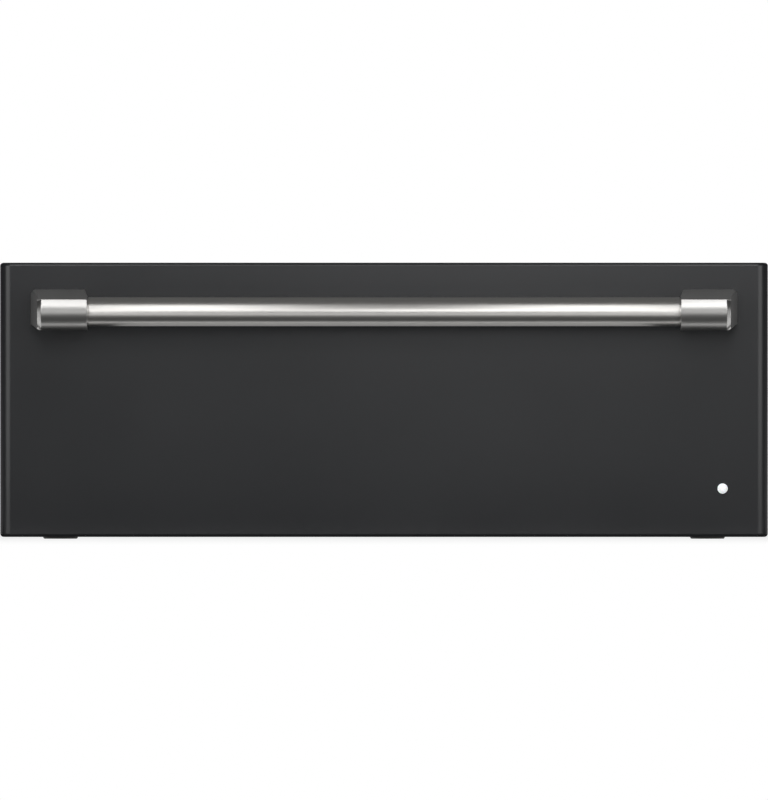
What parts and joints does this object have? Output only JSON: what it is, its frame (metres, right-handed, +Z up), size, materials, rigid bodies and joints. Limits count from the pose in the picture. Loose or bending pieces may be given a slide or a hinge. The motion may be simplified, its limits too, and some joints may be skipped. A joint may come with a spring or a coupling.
{
  "type": "warming drawer",
  "caption": "Heated warming drawer: dark satin front with a round bar handle, deep tub on full-extension slides, insulated case with hidden controls.",
  "frame": {"origin": "on the surface that the feet stand on, under the middle of the whole box", "axes": "+Z up, the drawer front faces -Y and the drawer opens along -Y, +X to the right seen from the front"},
  "size_m": [0.756, 0.6798, 0.272],
  "materials": {
    "slate_sheet": "satin dark grey",
    "brushed_stainless": "brushed along the bar",
    "satin_stainless": "fine satin",
    "white_lens": "gloss, translucent",
    "stainless_sheet": "brushed sheet",
    "drawn_stainless": "satin drawn sheet",
    "rack_wire": "bright wire",
    "galvanised_sheet": "zinc coated sheet",
    "slide_steel": "bright zinc",
    "ball_steel": "polished",
    "zinc_screws": "bright zinc",
    "insulation_wool": "soft blanket",
    "element_sheath": "heat darkened",
    "foot_rubber": "matte",
    "seal_silicone": "matte",
    "black_plastic": "fine grain",
    "lamp_white": "gloss",
    "terminal_ceramic": "matte",
    "lead_sleeve": "matte"
  },
  "bodies": {
    "case": {"face_frame": "stainless_sheet", "base_pan": "galvanised_sheet", "side_panel_left": "galvanised_sheet", "side_panel_right": "galvanised_sheet", "top_cover": "galvanised_sheet", "back_panel": "galvanised_sheet", "cavity_liner": "stainless_sheet", "floor_insulation": "insulation_wool", "roof_insulation": "insulation_wool", "left_insulation": "insulation_wool", "right_insulation": "insulation_wool", "back_insulation": "insulation_wool", "case_screws": "zinc_screws", "feet": "foot_rubber", "door_seal": "seal_silicone", "heating_element": "element_sheath", "element_clips": "rack_wire", "element_guard": "stainless_sheet", "temperature_probe": "rack_wire", "thermal_cutout": "black_plastic", "control_switch": "black_plastic", "control_plate": "black_plastic", "indicator_lamp": "lamp_white", "terminal_block": "terminal_ceramic", "terminal_cover": "galvanised_sheet", "wiring_loom": "lead_sleeve", "cord_gland": "black_plastic", "slide_outer_left": "slide_steel", "slide_outer_right": "slide_steel"},
    "drawer": {"front_skin": "slate_sheet", "front_liner": "stainless_sheet", "front_insulation": "insulation_wool", "control_pocket": "black_plastic", "handle_bar": "brushed_stainless", "handle_mount_left": "satin_stainless", "handle_mount_right": "satin_stainless", "handle_screws": "zinc_screws", "indicator_lens": "white_lens", "lens_clip": "stainless_sheet", "drawer_tub": "drawn_stainless", "tub_screws": "zinc_screws", "wire_rack": "rack_wire", "vent_rivets": "zinc_screws", "slide_inner_left": "slide_steel", "slide_inner_right": "slide_steel"},
    "vent_plate": {"vent_slider": "stainless_sheet"},
    "knob": {"temperature_knob": "black_plastic", "control_shaft": "zinc_screws"},
    "middle_left": {"slide_middle_left": "slide_steel"},
    "outer_row_left": {"outer_cage_left": "slide_steel", "outer_balls_left": "ball_steel"},
    "inner_row_left": {"inner_cage_left": "slide_steel", "inner_balls_left": "ball_steel"},
    "middle_right": {"slide_middle_right": "slide_steel"},
    "outer_row_right": {"outer_cage_right": "slide_steel", "outer_balls_right": "ball_steel"},
    "inner_row_right": {"inner_cage_right": "slide_steel", "inner_balls_right": "ball_steel"}
  },
  "joints": [
    {"name": "drawer_slide", "type": "slide", "parent": "case", "child": "drawer", "axis": [0, -1, 0], "range_m": [0, 0.48]},
    {"name": "vent_slide", "type": "slide", "parent": "drawer", "child": "vent_plate", "axis": [1, 0, 0], "range_m": [0, 0.012]},
    {"name": "knob_turn", "type": "hinge", "parent": "case", "child": "knob", "pos_m": [0.3405, -0.24215, 0.1398], "axis": [0, 1, 0], "range_deg": [0, 270]},
    {"name": "middle_left_slide", "type": "slide", "parent": "case", "child": "middle_left", "axis": [0, -1, 0], "range_m": [0, 0.24]},
    {"name": "outer_row_left_slide", "type": "slide", "parent": "case", "child": "outer_row_left", "axis": [0, -1, 0], "range_m": [0, 0.12]},
    {"name": "inner_row_left_slide", "type": "slide", "parent": "case", "child": "inner_row_left", "axis": [0, -1, 0], "range_m": [0, 0.36]},
    {"name": "middle_right_slide", "type": "slide", "parent": "case", "child": "middle_right", "axis": [0, -1, 0], "range_m": [0, 0.24]},
    {"name": "outer_row_right_slide", "type": "slide", "parent": "case", "child": "outer_row_right", "axis": [0, -1, 0], "range_m": [0, 0.12]},
    {"name": "inner_row_right_slide", "type": "slide", "parent": "case", "child": "inner_row_right", "axis": [0, -1, 0], "range_m": [0, 0.36]}
  ],
  "couplings": [
    {"joint": "middle_left_slide", "follows": "drawer_slide", "ratio": 0.5},
    {"joint": "outer_row_left_slide", "follows": "drawer_slide", "ratio": 0.25},
    {"joint": "inner_row_left_slide", "follows": "drawer_slide", "ratio": 0.75},
    {"joint": "middle_right_slide", "follows": "drawer_slide", "ratio": 0.5},
    {"joint": "outer_row_right_slide", "follows": "drawer_slide", "ratio": 0.25},
    {"joint": "inner_row_right_slide", "follows": "drawer_slide", "ratio": 0.75}
  ]
}
